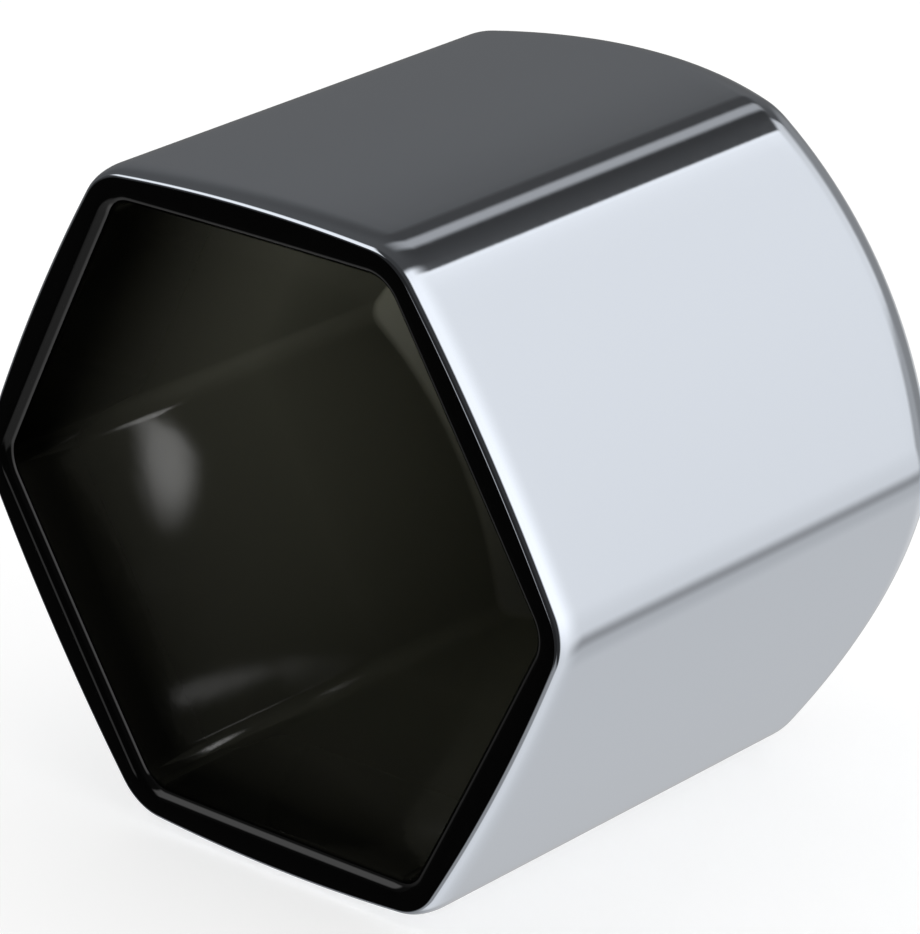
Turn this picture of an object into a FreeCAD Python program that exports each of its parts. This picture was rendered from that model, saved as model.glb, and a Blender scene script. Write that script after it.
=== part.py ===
"""Push-on cover cap for a hexagonal wheel nut.

The cap is one thin-walled moulding. Its outside is a hexagonal column with gently crowned
flats, rounded ridges and a domed closed end. Its inside is a hexagonal socket that slides
over the nut and ends in a dome of its own, so that the closed end stays nearly as thin as
the walls.

Millimetres. The cap lies on one of its flats. Its axis runs along Y. The mouth faces -Y and
lies in the plane y = 0, and the closed end points to +Y. The origin is the centre of the mouth.
"""
import FreeCAD, Part
import math
import os

from FreeCAD import Vector

# Driving dimensions

# The nut that the cap covers, and the room round it
NUT_ACROSS_FLATS = 19.0
NUT_CLEARANCE = 0.10

# The moulding
WALL = 1.50
END_WALL = 1.40
CAP_LENGTH = 22.2
SIDE_CROWN_RADIUS = 66.0
RIDGE_RADIUS = 2.2
DOME_RADIUS = 17.5
END_EDGE_RADIUS = 1.8

# The socket
SOCKET_RIDGE_RADIUS = 1.0
SOCKET_DRAFT_DEG = 0.4

# A column runs this far past the dome that trims it
TRIM_OVERRUN = 1.0

# The lip round the mouth
LIP_OUTER_RADIUS = 0.35
LIP_INNER_RADIUS = 0.45

# Dimensions that follow from them
SOCKET_APOTHEM = NUT_ACROSS_FLATS / 2.0 + NUT_CLEARANCE
CAP_APOTHEM = SOCKET_APOTHEM + WALL
SOCKET_DEPTH = CAP_LENGTH - END_WALL
INNER_DOME_RADIUS = DOME_RADIUS - END_WALL


def in_section(radius, angle_deg, y):
    """Point of a cross section at height y along the axis, with 0 degrees along +X."""
    angle = math.radians(angle_deg)
    return Vector(radius * math.cos(angle), y, radius * math.sin(angle))


def crowned_hexagon(apothem, ridge_radius, crown_radius, y):
    """Closed wire of six shallow side arcs joined by six ridge arcs."""
    # Each side is an arc whose centre lies beyond the axis, so it touches the apothem at its
    # middle. A ridge arc is tangent to the two side arcs that it joins.
    half_turn = math.radians(30.0)
    beyond = crown_radius - apothem
    across = beyond * math.sin(half_turn)
    ridge_centre = math.sqrt((crown_radius - ridge_radius) ** 2 - across ** 2)
    ridge_centre -= beyond * math.cos(half_turn)
    # How far the outward direction leans from the flat's own where a side arc ends
    lean = math.degrees(math.asin(ridge_centre * math.sin(half_turn) / (crown_radius - ridge_radius)))
    edges = []
    for side in range(6):
        flat_angle = 60.0 * side + 30.0
        last_ridge_angle = flat_angle - 30.0
        next_ridge_angle = flat_angle + 30.0
        start = in_section(ridge_centre, last_ridge_angle, y)
        start += in_section(ridge_radius, flat_angle - lean, 0.0)
        end = in_section(ridge_centre, next_ridge_angle, y)
        end += in_section(ridge_radius, flat_angle + lean, 0.0)
        edges.append(Part.Arc(start, in_section(apothem, flat_angle, y), end).toShape())
        ridge_top = in_section(ridge_centre + ridge_radius, next_ridge_angle, y)
        next_start = in_section(ridge_centre, next_ridge_angle, y)
        next_start += in_section(ridge_radius, flat_angle + 60.0 - lean, 0.0)
        edges.append(Part.Arc(end, ridge_top, next_start).toShape())
    return Part.Wire(edges)


def tapered_hexagon(first_apothem, last_apothem, length):
    """Solid hexagonal column from y = 0, with flat sides that lean evenly towards the axis."""
    first = []
    last = []
    for corner in range(6):
        angle = 60.0 * corner
        first.append(in_section(first_apothem / math.cos(math.radians(30.0)), angle, 0.0))
        last.append(in_section(last_apothem / math.cos(math.radians(30.0)), angle, length))
    faces = [Part.Face(Part.makePolygon(first + first[:1])), Part.Face(Part.makePolygon(last + last[:1]))]
    for corner in range(6):
        beside = (corner + 1) % 6
        side = [first[corner], first[beside], last[beside], last[corner], first[corner]]
        faces.append(Part.Face(Part.makePolygon(side)))
    return Part.Solid(Part.Shell(faces))


def ball_with_top_at(radius, top_y):
    """Ball on the axis whose far pole is at top_y. It trims a column to a dome."""
    return Part.makeSphere(radius, Vector(0, top_y - radius, 0))


def lengthwise_edges(solid):
    """The ridges: the edges that run from one end to the other."""
    return [edge for edge in solid.Edges if edge.BoundBox.YLength > 0.5 * CAP_LENGTH]


def edges_round_dome(solid):
    """The edges where the walls meet the dome."""
    found = []
    for face in solid.Faces:
        if isinstance(face.Surface, Part.Sphere):
            found.extend(face.OuterWire.Edges)
    return found


def edges_in_plane(solid, y):
    """The edges that lie wholly in the plane at height y."""
    found = []
    for edge in solid.Edges:
        box = edge.BoundBox
        if abs(box.YMin - y) < 1e-4 and abs(box.YMax - y) < 1e-4:
            found.append(edge)
    return found


def outer_form():
    """The solid outside of the cap: a crowned column, rounded on its ridges, with a domed end."""
    section = crowned_hexagon(CAP_APOTHEM, RIDGE_RADIUS, SIDE_CROWN_RADIUS, 0.0)
    column = Part.Face(section).extrude(Vector(0, CAP_LENGTH + TRIM_OVERRUN, 0))
    # The dome is the end of a ball that is larger than the column.
    # A plain column as wide as the ball carries it down past the mouth.
    body = column.common(dome_trim(DOME_RADIUS, CAP_LENGTH))
    return body.makeFillet(END_EDGE_RADIUS, edges_round_dome(body))


def dome_trim(radius, top_y):
    """Ball carried down past the mouth by a cylinder of its own width."""
    equator = top_y - radius
    skirt_foot = Vector(0, -TRIM_OVERRUN, 0)
    skirt = Part.makeCylinder(radius, equator + TRIM_OVERRUN, skirt_foot, Vector(0, 1, 0))
    return ball_with_top_at(radius, top_y).fuse(skirt).removeSplitter()


def socket_form():
    """The hollow: a hexagonal socket that widens slightly towards the mouth, with a domed end."""
    slope = math.tan(math.radians(SOCKET_DRAFT_DEG))
    mouth_apothem = SOCKET_APOTHEM + SOCKET_DEPTH * slope
    past_apothem = SOCKET_APOTHEM - TRIM_OVERRUN * slope
    core = tapered_hexagon(mouth_apothem, past_apothem, SOCKET_DEPTH + TRIM_OVERRUN)
    core = core.makeFillet(SOCKET_RIDGE_RADIUS, lengthwise_edges(core))
    return core.common(dome_trim(INNER_DOME_RADIUS, SOCKET_DEPTH))


def cap():
    """The whole moulding, with its lip rounded inside and outside."""
    shell = outer_form().cut(socket_form())
    # Of the edges at the mouth, the socket's own lie nearer to the axis than mid-wall.
    mid_wall = CAP_APOTHEM - WALL / 2.0
    outer = [edge for edge in edges_in_plane(shell, 0.0) if reach(edge) > mid_wall]
    shell = shell.makeFillet(LIP_OUTER_RADIUS, outer)
    inner = [edge for edge in edges_in_plane(shell, 0.0) if reach(edge) < mid_wall]
    return shell.makeFillet(LIP_INNER_RADIUS, inner)


def reach(edge):
    """Distance of an edge's middle from the axis, measured square to the nearest flat."""
    middle = edge.valueAt((edge.FirstParameter + edge.LastParameter) / 2.0)
    angle = math.degrees(math.atan2(middle.z, middle.x)) % 60.0 - 30.0
    return math.hypot(middle.x, middle.z) * math.cos(math.radians(angle))


os.makedirs("parts", exist_ok=True)
nut_cap = cap().Solids[0]
nut_cap.exportStep("parts/nut_cap.step")
box = nut_cap.BoundBox
print("nut_cap", nut_cap.ShapeType, "solids", len(nut_cap.Solids), "valid", nut_cap.isValid())
print("across flats", round(2.0 * CAP_APOTHEM, 3), "length", round(box.YLength, 3))
print("box", [round(v, 3) for v in (box.XMin, box.YMin, box.ZMin, box.XMax, box.YMax, box.ZMax)])
print("volume", round(nut_cap.Volume, 1), "mm3")
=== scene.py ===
# %% [markdown]
# A chromed cover cap for a wheel nut
#
# The object is one plastic moulding. It is a hexagonal cup with a domed closed end. Its outside
# is plated with bright chrome, and its socket is bare black plastic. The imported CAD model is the
# frame. It fixes the place, the length and the width over the flats. The wall, the draft and the
# larger radii are the CAD model's own values, written down again here. The finest edges are
# rounded a little differently, for the looks.

# %% Load the frame
import bpy
import math
from mathutils import Matrix, Vector


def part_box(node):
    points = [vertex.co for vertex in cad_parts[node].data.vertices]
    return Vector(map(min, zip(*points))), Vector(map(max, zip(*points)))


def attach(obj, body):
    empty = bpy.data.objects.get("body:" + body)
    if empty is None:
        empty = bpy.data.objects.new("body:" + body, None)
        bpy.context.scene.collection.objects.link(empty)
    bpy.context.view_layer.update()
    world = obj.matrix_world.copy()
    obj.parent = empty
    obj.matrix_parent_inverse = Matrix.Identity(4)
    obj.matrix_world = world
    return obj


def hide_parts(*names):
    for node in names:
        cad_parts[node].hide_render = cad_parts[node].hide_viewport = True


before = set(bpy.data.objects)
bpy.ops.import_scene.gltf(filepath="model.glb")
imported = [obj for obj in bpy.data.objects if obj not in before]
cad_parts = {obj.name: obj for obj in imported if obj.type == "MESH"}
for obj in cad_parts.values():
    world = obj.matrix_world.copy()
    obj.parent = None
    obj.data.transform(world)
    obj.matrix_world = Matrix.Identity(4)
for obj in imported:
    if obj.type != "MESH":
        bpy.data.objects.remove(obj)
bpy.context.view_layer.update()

MM = 0.001
low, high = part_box("nut_cap")
cap_length = high[1] - low[1]
cap_apothem = (high[2] - low[2]) / 2.0
floor_level = low[2]
print("cap length", round(cap_length / MM, 2), "mm, across flats", round(2.0 * cap_apothem / MM, 2), "mm")

# %% [markdown]
# Helpers for node trees
#
# A node tree can be drawn by hand or written down. Written down, every node needs the same three
# steps: make it, set it, link it. One small function does them. A few more stand for the kinds of
# node that come back all the time, so that a line reads as one step of the sum.

# %% Node helpers and colours
X_AXIS = (1.0, 0.0, 0.0)
Y_AXIS = (0.0, 1.0, 0.0)
# A Mix node has its own two inputs and its own output for each kind of value
MIX_PLACES = {"FLOAT": (2, 3, 0), "VECTOR": (4, 5, 1), "RGBA": (6, 7, 2)}


def add(tree, kind, inputs=None, **settings):
    """Add one node, apply its settings, then link or set its inputs."""
    node = tree.nodes.new(kind)
    for name, value in settings.items():
        setattr(node, name, value)
    for name, source in (inputs or {}).items():
        if isinstance(source, bpy.types.NodeSocket):
            tree.links.new(source, node.inputs[name])
        else:
            node.inputs[name].default_value = source
    return node


def maths(tree, operation, *values):
    """A sum on numbers."""
    return add(tree, "ShaderNodeMath", dict(enumerate(values)), operation=operation).outputs[0]


def vectors(tree, operation, *values):
    """A sum on vectors that gives a vector."""
    node = add(tree, "ShaderNodeVectorMath", dict(enumerate(values)), operation=operation)
    return node.outputs["Vector"]


def measure(tree, operation, *values):
    """A sum on vectors that gives a number."""
    node = add(tree, "ShaderNodeVectorMath", dict(enumerate(values)), operation=operation)
    return node.outputs["Value"]


def scaled(tree, vector, factor):
    """A vector made longer or shorter."""
    node = add(tree, "ShaderNodeVectorMath", {0: vector, "Scale": factor}, operation="SCALE")
    return node.outputs["Vector"]


def about_y(tree, angle):
    """The direction at an angle about the cap's axis, counted from +X."""
    node = add(tree, "ShaderNodeVectorRotate", {"Vector": X_AXIS, "Angle": angle}, rotation_type="Y_AXIS")
    return node.outputs[0]


def spread(tree, value, start, end, first=0.0, last=1.0, soft=False):
    """Carry a number from the span start to end over to the span first to last, and stop at both ends."""
    inputs = {"Value": value, "From Min": start, "From Max": end, "To Min": first, "To Max": last}
    curve = "SMOOTHSTEP" if soft else "LINEAR"
    return add(tree, "ShaderNodeMapRange", inputs, interpolation_type=curve).outputs[0]


def blend(tree, share, first, second, kind="FLOAT"):
    """Mix two numbers, vectors or colours. A share of 0 gives the first, and 1 the second."""
    first_place, second_place, result_place = MIX_PLACES[kind]
    inputs = {0: share, first_place: first, second_place: second}
    return add(tree, "ShaderNodeMix", inputs, data_type=kind).outputs[result_place]


def choose(tree, test, if_not, if_so, kind="FLOAT"):
    """One of two values, by a test."""
    return add(tree, "GeometryNodeSwitch", {0: test, 1: if_not, 2: if_so}, input_type=kind).outputs[0]


def emptied(owner):
    """The node tree of a material or world, without the nodes that it starts with."""
    owner.use_nodes = True
    owner.node_tree.nodes.clear()
    return owner.node_tree


def linear(hex_colour):
    """Turn an sRGB hex colour into the linear colour that a shader mixes with."""
    # The constants are those of the sRGB standard
    channels = []
    for start in (1, 3, 5):
        value = int(hex_colour[start:start + 2], 16) / 255.0
        channels.append(value / 12.92 if value <= 0.04045 else ((value + 0.055) / 1.055) ** 2.4)
    return (channels[0], channels[1], channels[2], 1.0)


# %% [markdown]
# The hexagonal section
#
# Seen from its mouth, the cap's outside is six shallow arcs joined by six small ones. A hexagon
# with bevelled corners would look alike from far off, but chrome shows every change of curve. So
# each point of the section is an arc centre plus an arc radius along the outward direction. Then
# the outward direction is known at every point, and the rounded edges follow from it.

# %% Sizes of the two sections
SIDE_CROWN = 66.0 * MM
RIDGE_RADIUS = 2.2 * MM
WALL = 1.5 * MM
SOCKET_RIDGE_RADIUS = 1.0 * MM
# The socket's sides are flat. So wide an arc is flat to a few hundredths of a millimetre.
FLAT_ARC = 500.0 * MM
SIDES = 6.0
# Half of the turn that one side takes up
HALF_TURN = math.pi / SIDES


def section_sizes(apothem, side_radius, ridge_radius):
    """Where the arcs of a rounded hexagon have their centres, and how far its side arcs lean."""
    beyond = side_radius - apothem
    ridge_centre = math.sqrt((side_radius - ridge_radius) ** 2 - (beyond * math.sin(HALF_TURN)) ** 2)
    ridge_centre -= beyond * math.cos(HALF_TURN)
    lean = math.asin(ridge_centre * math.sin(HALF_TURN) / (side_radius - ridge_radius))
    return {"Side Radius": side_radius, "Side Centre": -beyond, "Ridge Radius": ridge_radius,
            "Ridge Centre": ridge_centre, "Lean": lean}


outside = section_sizes(cap_apothem, SIDE_CROWN, RIDGE_RADIUS)
inside = section_sizes(cap_apothem - WALL, FLAT_ARC, SOCKET_RIDGE_RADIUS)
print("outside over the ridges", round(2.0 * (outside["Ridge Centre"] + RIDGE_RADIUS) / MM, 2), "mm")

# %% [markdown]
# A skin as a rule
#
# Both skins of the cap follow one rule, so Geometry Nodes make them. The rule has two
# coordinates. Turn goes once round the axis. Along starts at the lip, goes up the wall, rolls
# over the end's rounded edge and ends at the pole of the dome. A ball rolls along inside the
# corner between wall and dome, and its path gives the rounded edge an even radius that the six
# flats and the six ridges share.

# %% The skin's node group
# How the rows of a skin are shared out: lip, wall, end edge and dome
LIP_ROWS = 10
WALL_ROWS = 26
EDGE_ROWS = 12
DOME_ROWS = 32
SKIN_ROWS = LIP_ROWS + WALL_ROWS + EDGE_ROWS + DOME_ROWS
# Share of a sixth of the turn that each half ridge takes
RIDGE_SHARE = 0.2

skin = bpy.data.node_groups.new("skin_point", "GeometryNodeTree")
for name in ("Turn", "Along", "Side Radius", "Side Centre", "Ridge Radius", "Ridge Centre", "Lean",
             "Top", "Dome Radius", "Edge Radius", "Lip Depth", "Lip Length", "Widening"):
    skin.interface.new_socket(name, in_out="INPUT", socket_type="NodeSocketFloat")
skin.interface.new_socket("Position", in_out="OUTPUT", socket_type="NodeSocketVector")
size = add(skin, "NodeGroupInput").outputs

# Which side and which ridge this point belongs to
sixths = maths(skin, "MULTIPLY", size["Turn"], SIDES)
share = maths(skin, "FRACT", sixths)
side = maths(skin, "FLOOR", sixths)
ridge = maths(skin, "ROUND", sixths)
side_angle = maths(skin, "MULTIPLY_ADD", side, -2.0 * HALF_TURN, -HALF_TURN)
ridge_angle = maths(skin, "MULTIPLY", ridge, -2.0 * HALF_TURN)

# The outward direction swings slowly over the side and quickly over the ridges
negative_lean = maths(skin, "MULTIPLY", size["Lean"], -1.0)
swing = maths(skin, "MULTIPLY_ADD", size["Lean"], -1.0, HALF_TURN)
negative_swing = maths(skin, "MULTIPLY", swing, -1.0)
over_side = spread(skin, share, RIDGE_SHARE, 1.0 - RIDGE_SHARE, size["Lean"], negative_lean)
off_ridge = spread(skin, share, 0.0, RIDGE_SHARE, swing, 0.0)
on_ridge = spread(skin, share, 1.0 - RIDGE_SHARE, 1.0, 0.0, negative_swing)
ridges = maths(skin, "ADD", off_ridge, on_ridge)
lean = maths(skin, "ADD", over_side, ridges)
outward_angle = maths(skin, "ADD", side_angle, lean)
outward = about_y(skin, outward_angle)

# The arc that the point lies on
from_middle = maths(skin, "SUBTRACT", share, 0.5)
off_middle = maths(skin, "ABSOLUTE", from_middle)
on_side = maths(skin, "LESS_THAN", off_middle, 0.5 - RIDGE_SHARE)
arc_radius = choose(skin, on_side, size["Ridge Radius"], size["Side Radius"])
arc_reach = choose(skin, on_side, size["Ridge Centre"], size["Side Centre"])
arc_angle = choose(skin, on_side, ridge_angle, side_angle)
arc_centre = scaled(skin, about_y(skin, arc_angle), arc_reach)

# The rolling ball's centre, and the direction in which it touches the dome
ball_reach = maths(skin, "SUBTRACT", arc_radius, size["Edge Radius"])
ball_flat = vectors(skin, "ADD", arc_centre, scaled(skin, outward, ball_reach))
ball_across = measure(skin, "DOT_PRODUCT", ball_flat, ball_flat)
room = maths(skin, "SUBTRACT", size["Dome Radius"], size["Edge Radius"])
room_squared = maths(skin, "MULTIPLY", room, room)
rise_squared = maths(skin, "SUBTRACT", room_squared, ball_across)
ball_rise = maths(skin, "SQRT", rise_squared)
dome_level = maths(skin, "SUBTRACT", size["Top"], size["Dome Radius"])
ball_level = maths(skin, "ADD", dome_level, ball_rise)
rise_vector = add(skin, "ShaderNodeCombineXYZ", {"Y": ball_rise}).outputs[0]
dome_way = vectors(skin, "NORMALIZE", vectors(skin, "ADD", ball_flat, rise_vector))

# How far along each stretch the row is, from 0 to 1
starts = [0, LIP_ROWS, LIP_ROWS + WALL_ROWS, LIP_ROWS + WALL_ROWS + EDGE_ROWS, SKIN_ROWS]
stretches = []
for first, last in zip(starts, starts[1:]):
    stretches.append(spread(skin, size["Along"], first / SKIN_ROWS, last / SKIN_ROWS))
lip_part, wall_part, edge_part, dome_part = stretches

# The lip is a quarter of an ellipse. Its depth is across the wall, and its length up the wall.
lip_angle = maths(skin, "MULTIPLY", lip_part, math.pi / 2.0)
lip_sine = maths(skin, "SINE", lip_angle)
lip_cosine = maths(skin, "COSINE", lip_angle)
lip_short = maths(skin, "ADD", lip_sine, -1.0)
lip_in = maths(skin, "MULTIPLY", lip_short, size["Lip Depth"])
lip_rest = maths(skin, "SUBTRACT", 1.0, lip_cosine)
lip_up = maths(skin, "MULTIPLY", lip_rest, size["Lip Length"])

# The wall leans outwards towards the mouth by the widening
wall_left = maths(skin, "SUBTRACT", 1.0, wall_part)
reach_out = maths(skin, "MULTIPLY_ADD", wall_left, size["Widening"], lip_in)
wall_reach = maths(skin, "ADD", arc_radius, reach_out)
wall_run = maths(skin, "SUBTRACT", ball_level, size["Lip Length"])
wall_level = maths(skin, "MULTIPLY_ADD", wall_run, wall_part, lip_up)
level_vector = add(skin, "ShaderNodeCombineXYZ", {"Y": wall_level}).outputs[0]
wall_flat = vectors(skin, "ADD", arc_centre, scaled(skin, outward, wall_reach))
wall_point = vectors(skin, "ADD", wall_flat, level_vector)

# Rolling over the edge turns the outward direction into the dome's, and then into the axis
edge_way = vectors(skin, "NORMALIZE", blend(skin, edge_part, outward, dome_way, "VECTOR"))
edge_step = scaled(skin, vectors(skin, "SUBTRACT", edge_way, outward), size["Edge Radius"])
pole_way = vectors(skin, "NORMALIZE", blend(skin, dome_part, dome_way, Y_AXIS, "VECTOR"))
dome_step = scaled(skin, vectors(skin, "SUBTRACT", pole_way, dome_way), size["Dome Radius"])
past_edge = vectors(skin, "ADD", wall_point, edge_step)
add(skin, "NodeGroupOutput", {"Position": vectors(skin, "ADD", past_edge, dome_step)})
print("skin group:", len(skin.nodes), "nodes")

# %% [markdown]
# Plated outside, bare inside
#
# The cap comes out of its mould as black ABS, an easily moulded plastic that takes plating well.
# The outside is then coated with bright chrome. Chrome is a metal, so it has no colour of its own
# apart from a cool tint: it shows the studio. The socket stays bare, smooth and glossy.

# %% Chrome
CHROME_TINT = linear("#DEE4ED")
# Slight unevenness of the moulding below the plating, from one hump to the next
WAVE = 3.0 * MM
WAVE_HEIGHT = 0.004 * MM
WAVE_DETAIL = 1.0
# Fine mottle of the surface, at the least size that shows
MOTTLE = 0.35 * MM
MOTTLE_DETAIL = 2.0
PLATING_MOTTLE_HEIGHT = 0.0006 * MM
PLASTIC_MOTTLE_HEIGHT = 0.001 * MM
# The noise lies mostly between the first two, and the roughness between the second two
NOISE_LOW = 0.3
NOISE_HIGH = 0.7
SMOOTHEST = 0.05
ROUGHEST = 0.09


def noise(tree, place, hump, detail):
    """Even noise from 0 to 1, with humps of a given size."""
    inputs = {"Vector": place, "Scale": 1.0 / hump, "Detail": detail}
    return add(tree, "ShaderNodeTexNoise", inputs).outputs["Fac"]


def bump(tree, height, rise, below=None):
    """The surface direction over humps of a given rise, on top of other humps if there are any."""
    inputs = {"Height": height, "Strength": 1.0, "Distance": rise}
    if below is not None:
        inputs["Normal"] = below
    return add(tree, "ShaderNodeBump", inputs).outputs[0]


chrome = bpy.data.materials.new("decorative_chrome_plating")
tree = emptied(chrome)
place = add(tree, "ShaderNodeTexCoord").outputs["Object"]
mottle = noise(tree, place, MOTTLE, MOTTLE_DETAIL)
waved = bump(tree, noise(tree, place, WAVE, WAVE_DETAIL), WAVE_HEIGHT)
mottled = bump(tree, mottle, PLATING_MOTTLE_HEIGHT, waved)
polish = spread(tree, mottle, NOISE_LOW, NOISE_HIGH, SMOOTHEST, ROUGHEST)
surface = add(tree, "ShaderNodeBsdfPrincipled", {"Base Color": CHROME_TINT, "Metallic": 1.0,
                                                 "Roughness": polish, "Normal": mottled})
add(tree, "ShaderNodeOutputMaterial", {"Surface": surface.outputs[0]})

# %% Black plastic
ABS_IOR = 1.53
# The mouth is polished deep black. Further in, the colour turns a little grey: painted light that stands in
# for the glow of the socket's reflections.
MOUTH_COLOUR = linear("#040404")
MOUTH_DEPTH = 1.5 * MM
INNER_PAINTED_LIGHT = linear("#606055")
INNER_DEPTH = 11.0 * MM

black = bpy.data.materials.new("gloss_black_moulded_abs")
tree = emptied(black)
place = add(tree, "ShaderNodeTexCoord").outputs["Object"]
mottle = noise(tree, place, MOTTLE, MOTTLE_DETAIL)
mottled = bump(tree, mottle, PLASTIC_MOTTLE_HEIGHT)
polish = spread(tree, mottle, NOISE_LOW, NOISE_HIGH, SMOOTHEST, ROUGHEST)
depth = add(tree, "ShaderNodeSeparateXYZ", {0: place}).outputs["Y"]
# Painted light: the plastic's black turns grey further into the socket, to brighten it.
painted_light_share = spread(tree, depth, MOUTH_DEPTH, INNER_DEPTH)
black_with_painted_light = blend(tree, painted_light_share, MOUTH_COLOUR, INNER_PAINTED_LIGHT, "RGBA")
surface = add(tree, "ShaderNodeBsdfPrincipled", {"Base Color": black_with_painted_light, "Roughness": polish,
                                                 "IOR": ABS_IOR, "Normal": mottled})
add(tree, "ShaderNodeOutputMaterial", {"Surface": surface.outputs[0]})
print("materials:", chrome.name, black.name)

# %% [markdown]
# From rule to mesh
#
# One grid covers the whole cap. Its first half of rows goes from the outside pole down to the
# lip, and its second half from the lip up to the socket's pole. The two halves meet in the flat
# land of the lip. Merging closes the seam and the poles.

# %% The cap's tree
END_WALL = 1.4 * MM
DOME_RADIUS = 17.5 * MM
END_EDGE_RADIUS = 1.8 * MM
SOCKET_DRAFT = math.radians(0.4)
socket_depth = cap_length - END_WALL
# Between the socket's walls and its dome. The CAD model leaves this edge sharp.
SOCKET_EDGE_RADIUS = 0.3 * MM
# Outside, the lip runs out into the wall more slowly than it turns in. In the socket it is even.
LIP_DEPTH = 0.30 * MM
LIP_LENGTH = 0.90 * MM
SOCKET_LIP = 0.45 * MM

outer_sizes = dict(outside)
outer_sizes.update({"Top": cap_length, "Dome Radius": DOME_RADIUS, "Edge Radius": END_EDGE_RADIUS,
                    "Lip Depth": LIP_DEPTH, "Lip Length": LIP_LENGTH, "Widening": 0.0})
# The socket's lip opens outwards, so its depth is negative
inner_sizes = dict(inside)
inner_sizes.update({"Top": socket_depth, "Dome Radius": DOME_RADIUS - END_WALL,
                    "Edge Radius": SOCKET_EDGE_RADIUS, "Lip Depth": -SOCKET_LIP,
                    "Lip Length": SOCKET_LIP, "Widening": socket_depth * math.tan(SOCKET_DRAFT)})

COLUMNS = 240
# Points nearer to each other than this are one point
MERGE_WITHIN = 0.001 * MM
rows = 2 * SKIN_ROWS + 1
cap_tree = bpy.data.node_groups.new("cap_moulding", "GeometryNodeTree")
cap_tree.interface.new_socket("Geometry", in_out="INPUT", socket_type="NodeSocketGeometry")
skins = {"Outer": outer_sizes, "Inner": inner_sizes}
for skin_name, sizes in skins.items():
    for name in sizes:
        cap_tree.interface.new_socket(skin_name + " " + name, in_out="INPUT", socket_type="NodeSocketFloat")
cap_tree.interface.new_socket("Geometry", in_out="OUTPUT", socket_type="NodeSocketGeometry")
given = add(cap_tree, "NodeGroupInput").outputs

# The sheet is a metre each way round its own middle, so half a metre more counts from 0 to 1
sheet = add(cap_tree, "GeometryNodeMeshGrid", {"Size X": 1.0, "Size Y": 1.0, "Vertices X": COLUMNS + 1,
                                               "Vertices Y": rows + 1}).outputs["Mesh"]
position = add(cap_tree, "GeometryNodeInputPosition").outputs[0]
spot = add(cap_tree, "ShaderNodeSeparateXYZ", {0: position}).outputs
turn = maths(cap_tree, "ADD", spot["X"], 0.5)
down = maths(cap_tree, "ADD", spot["Y"], 0.5)
# The rows run from the outside pole to the lip, and from the lip to the socket's pole
outer_along = spread(cap_tree, down, 0.0, SKIN_ROWS / rows, 1.0, 0.0)
inner_along = spread(cap_tree, down, (SKIN_ROWS + 1) / rows, 1.0)
points = {}
for skin_name, along in (("Outer", outer_along), ("Inner", inner_along)):
    group = add(cap_tree, "GeometryNodeGroup", node_tree=skin)
    cap_tree.links.new(turn, group.inputs["Turn"])
    cap_tree.links.new(along, group.inputs["Along"])
    for name in skins[skin_name]:
        cap_tree.links.new(given[skin_name + " " + name], group.inputs[name])
    points[skin_name] = group.outputs["Position"]
is_inner = maths(cap_tree, "GREATER_THAN", down, 0.5)
point = choose(cap_tree, is_inner, points["Outer"], points["Inner"], "VECTOR")
# The row is kept with each face, because the position that it was read from is about to change. A
# face's row is the mean of its corners', so the land's faces are the first past the outer lip's row.
kept = add(cap_tree, "GeometryNodeCaptureAttribute", {"Geometry": sheet}, domain="FACE")
kept.capture_items.new("FLOAT", "Row")
cap_tree.links.new(down, kept.inputs["Row"])
is_bare = maths(cap_tree, "GREATER_THAN", kept.outputs["Row"], SKIN_ROWS / rows)
formed = add(cap_tree, "GeometryNodeSetPosition", {"Geometry": kept.outputs[0], "Position": point})
closed = add(cap_tree, "GeometryNodeMergeByDistance", {"Geometry": formed.outputs[0],
                                                        "Distance": MERGE_WITHIN})
smooth = add(cap_tree, "GeometryNodeSetShadeSmooth", {"Geometry": closed.outputs[0]})
plated = add(cap_tree, "GeometryNodeSetMaterial", {"Geometry": smooth.outputs[0], "Material": chrome})
finished = add(cap_tree, "GeometryNodeSetMaterial", {"Geometry": plated.outputs[0], "Selection": is_bare,
                                                     "Material": black})
add(cap_tree, "NodeGroupOutput", {"Geometry": finished.outputs[0]})

# %% Make the cap
holder = bpy.data.objects.new("cap_holder", bpy.data.meshes.new("cap_holder"))
bpy.context.scene.collection.objects.link(holder)
maker = holder.modifiers.new("cap_moulding", "NODES")
maker.node_group = cap_tree
identifiers = {}
for item in cap_tree.interface.items_tree:
    if item.in_out == "INPUT":
        identifiers[item.name] = item.identifier
for skin_name, sizes in skins.items():
    for name, value in sizes.items():
        maker[identifiers[skin_name + " " + name]] = value
evaluated = holder.evaluated_get(bpy.context.evaluated_depsgraph_get())
cap_mesh = bpy.data.meshes.new_from_object(evaluated)
cap_mesh.name = "wheel_nut_cap"
# The grid that the sheet began as had an empty material place, which comes along as the first
cap_mesh.materials.pop(index=0)
bpy.data.objects.remove(holder)
cap = bpy.data.objects.new("wheel_nut_cap", cap_mesh)
bpy.context.scene.collection.objects.link(cap)
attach(cap, "root")
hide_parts("nut_cap")
triangles = sum(len(face.vertices) - 2 for face in cap_mesh.polygons)
print("cap:", triangles, "triangles, materials", [material.name for material in cap_mesh.materials])
print("slots used", sorted(set(face.material_index for face in cap_mesh.polygons)))

# %% [markdown]
# The studio
#
# Bright metal is lit by what it mirrors. Panels of different greys stand round the cap, so one
# flat goes dark, one bright, and the ridge between them carries a line of light. Only mirrored rays
# see the panels. The camera sees plain white, and the floor keeps the cap's shadow.

# %% Floor
# Half the floor's side, in metres
FLOOR_HALF = 1.5
PAPER_GREY = (0.45, 0.45, 0.45, 1.0)
# What the paper gives of its own, and what it gives on top where the camera looks straight at it
PAPER_GLOW = 0.22
PAPER_SEEN_GLOW = 0.46

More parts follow.
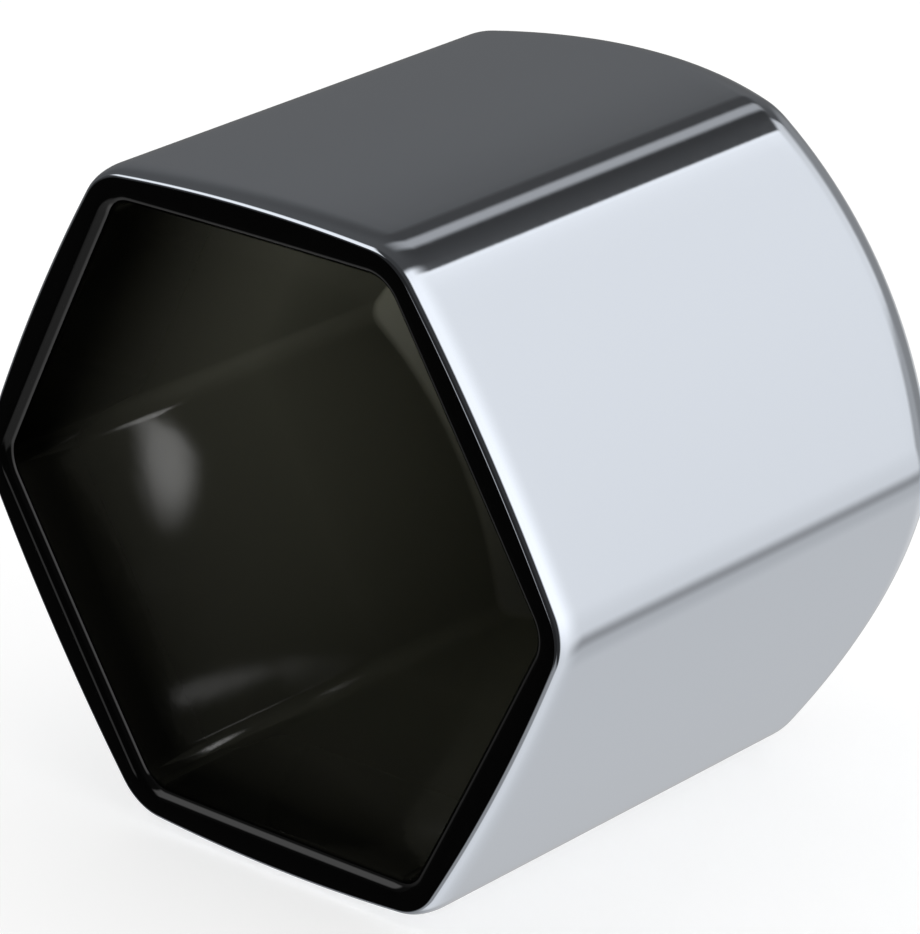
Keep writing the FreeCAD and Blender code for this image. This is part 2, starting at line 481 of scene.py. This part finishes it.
floor_mesh = bpy.data.meshes.new("floor")
corners = []
for x, y in ((-1, -1), (1, -1), (1, 1), (-1, 1)):
    corners.append((x * FLOOR_HALF, y * FLOOR_HALF, floor_level))
floor_mesh.from_pydata(corners, [], [(0, 1, 2, 3)])
floor = bpy.data.objects.new("floor", floor_mesh)
bpy.context.scene.collection.objects.link(floor)
paper = bpy.data.materials.new("white_backdrop_paper")
tree = emptied(paper)
ray = add(tree, "ShaderNodeLightPath").outputs
matt = add(tree, "ShaderNodeBsdfDiffuse", {"Color": PAPER_GREY}).outputs[0]
own = maths(tree, "MULTIPLY_ADD", ray["Is Camera Ray"], PAPER_SEEN_GLOW, PAPER_GLOW)
glow = add(tree, "ShaderNodeEmission", {"Strength": own}).outputs[0]
both = add(tree, "ShaderNodeAddShader", {0: matt, 1: glow}).outputs[0]
add(tree, "ShaderNodeOutputMaterial", {"Surface": both})
floor_mesh.materials.append(paper)
# The tent's panels reach all round, so the metal mirrors them and not the paper
floor.visible_glossy = False
floor.visible_diffuse = False

# %% The tent
# What the cap mirrors, as (degrees about its own axis, level): 0 is right, 90 is overhead. Each
# band of panels fades in over its own stretch from front to back, given in the next table. RIM is
# what the lip sees as it turns away from its land, LIP is where it runs out into the wall, SIDE is
# what the flats and ridges see, END is what the rounded end edge sees, and BACK is straight behind.
PANELS = {
    "RIM": [(-128, 0.02), (-114, 0.30), (-66, 0.30), (-50, 0.03),
            (112, 0.05), (124, 1.10), (150, 1.10), (162, 0.05)],
    "LIP": [(-180, 0.10), (-112, 0.30), (-96, 0.80), (-50, 0.80),
            (18, 1.30), (54, 1.10), (64, 0.07), (140, 0.09)],
    "SIDE": [(-156, 0.14), (-146, 0.50), (-84, 0.61), (-52, 0.53), (-37, 0.34),
             (-18, 0.79), (38, 0.93), (46, 1.10), (51, 0.07), (88, 0.045),
             (99, 0.42), (106, 0.42), (116, 0.06), (130, 0.06), (151, 0.14)],
    "END": [(-180, 0.14), (-126, 0.75), (-50, 0.52), (18, 0.41),
            (28, 0.86), (66, 0.70), (78, 0.09), (147, 0.13)],
    "BACK": [(-180, 0.28), (180, 0.28)],
}
PANEL_EDGES = {"RIM": (-0.84, -0.72), "LIP": (-0.38, -0.20), "SIDE": (0.15, 0.71),
               "END": (0.74, 0.84), "BACK": (0.91, 0.985)}
# What is mirrored straight in front, where no panel stands
FRONT_LEVEL = 0.02
# Cards in front of the mouth: middle to the right and up, half sizes, slope, level, and the least
# number of reflections on the way to them. The small bright one gives the socket its highlight by
# way of two walls, and is kept off the lip. The strip gives a soft band above the lowest ridge.
# The dim one keeps the lip's rounded edges from going wholly black.
CARDS = {
    "LOW": (0.26, -0.30, 0.28, 0.13, -0.27, 50.0, 2),
    "STRIP": (-0.40, 0.28, 0.36, 0.05, 0.56, 14.0, 2),
    "LIP_LIGHT": (-0.25, -0.16, 0.16, 0.10, 0.65, 0.5, 1),
}
# A card's glow starts at the first distance from its middle, in half sizes, and is full at the second
CARD_STARTS = 1.2
CARD_FULL = 0.3
# What lights the plastic from the front: less from above, and more from white paper below. One
# turns into the other as a direction drops, and both fade in as it turns towards the front.
FRONT_ABOVE = 0.15
FRONT_BELOW = 9.0
ABOVE_ENDS = 0.05
BELOW_STARTS = -0.30
FRONT_STARTS = -0.20
FRONT_FULL = -0.60

world = bpy.data.worlds.new("white_tent")
bpy.context.scene.world = world
tree = emptied(world)
way = add(tree, "ShaderNodeTexCoord").outputs["Generated"]
axes = add(tree, "ShaderNodeSeparateXYZ", {0: way}).outputs
about = maths(tree, "ARCTAN2", axes["Z"], axes["X"])
round_axis = spread(tree, about, -math.pi, math.pi)
mirrored = FRONT_LEVEL
for name, levels in PANELS.items():
    panel = add(tree, "ShaderNodeValToRGB", {"Fac": round_axis})
    panel.color_ramp.interpolation = "EASE"
    stops = panel.color_ramp.elements
    ready = len(stops)
    # A ramp's places run from 0 at -180 degrees to 1 at 180
    for index, (degrees, level) in enumerate(levels):
        place = (degrees + 180.0) / 360.0
        stop = stops[index] if index < ready else stops.new(place)
        stop.position = place
        stop.color = (level, level, level, 1.0)
    start, full = PANEL_EDGES[name]
    faded_in = spread(tree, axes["Y"], start, full, soft=True)
    mirrored = blend(tree, faded_in, mirrored, panel.outputs[0])
    print(name, "panels:", len(stops), "stops")
ray = add(tree, "ShaderNodeLightPath").outputs
in_front = maths(tree, "LESS_THAN", axes["Y"], 0.0)
from_front = spread(tree, axes["Z"], ABOVE_ENDS, BELOW_STARTS, FRONT_ABOVE, FRONT_BELOW, soft=True)
ahead = spread(tree, axes["Y"], FRONT_STARTS, FRONT_FULL, soft=True)
soft_light = blend(tree, ahead, 1.0, from_front)
for name, (right_by, up_by, half_width, half_height, slope, level, reflections) in CARDS.items():
    off_middle = vectors(tree, "SUBTRACT", way, (right_by, 0.0, up_by))
    along = measure(tree, "DOT_PRODUCT", off_middle, (1.0 / half_width, 0.0, 0.0))
    across = measure(tree, "DOT_PRODUCT", off_middle, (-slope / half_height, 0.0, 1.0 / half_height))
    steps = add(tree, "ShaderNodeCombineXYZ", {"X": along, "Y": across}).outputs[0]
    away = measure(tree, "LENGTH", steps)
    glow = spread(tree, away, CARD_STARTS, CARD_FULL, 0.0, level, soft=True)
    # The count at the world includes the camera's own ray
    far_enough = maths(tree, "GREATER_THAN", ray["Ray Depth"], reflections + 0.5)
    shown = maths(tree, "MULTIPLY", far_enough, in_front)
    mirrored = maths(tree, "MULTIPLY_ADD", glow, shown, mirrored)
    print(name, "card: level", level)
strength = blend(tree, ray["Is Glossy Ray"], soft_light, mirrored)
tent = add(tree, "ShaderNodeBackground", {"Color": (1.0, 1.0, 1.0, 1.0), "Strength": strength})
add(tree, "ShaderNodeOutputWorld", {"Surface": tent.outputs[0]})
bpy.context.scene.view_settings.view_transform = "Standard"

# %% [markdown]
# The camera
#
# The camera looks into the mouth from the front right and from above. The cap's parallel ridges
# draw together a little, which puts the camera about 16 cm away. The mouth's centre lies left of
# and below the middle of the picture.

# %% Camera
AZIMUTH = math.radians(43.5)
ELEVATION = math.radians(22.4)
ROLL = math.radians(-2.1)
DISTANCE = 161.4 * MM
# Where the camera aims, from the mouth's centre
AIM_RIGHT = 6.07 * MM
AIM_UP = 2.36 * MM
PICTURE_WIDTH = 920.0
PIXELS_PER_MM = 33.26
SENSOR_WIDTH = 36.0
# The nearest that the camera sees, in metres
NEAREST = 0.01

back = Vector((math.sin(AZIMUTH) * math.cos(ELEVATION),
               -math.cos(AZIMUTH) * math.cos(ELEVATION),
               math.sin(ELEVATION)))
level_right = Vector((math.cos(AZIMUTH), math.sin(AZIMUTH), 0.0))
level_up = back.cross(level_right)
right = level_right * math.cos(ROLL) + level_up * math.sin(ROLL)
up = back.cross(right)
eye = right * AIM_RIGHT + up * AIM_UP + back * DISTANCE

camera_data = bpy.data.cameras.new("camera")
camera_data.sensor_fit = "HORIZONTAL"
camera_data.sensor_width = SENSOR_WIDTH
camera_data.lens = PIXELS_PER_MM * (DISTANCE / MM) * SENSOR_WIDTH / PICTURE_WIDTH
camera_data.clip_start = NEAREST
camera = bpy.data.objects.new("camera", camera_data)
turned = Matrix((right, up, back)).transposed().to_4x4()
camera.matrix_world = Matrix.Translation(eye) @ turned
bpy.context.scene.collection.objects.link(camera)
bpy.context.scene.camera = camera
print("lens", round(camera_data.lens, 1), "mm")
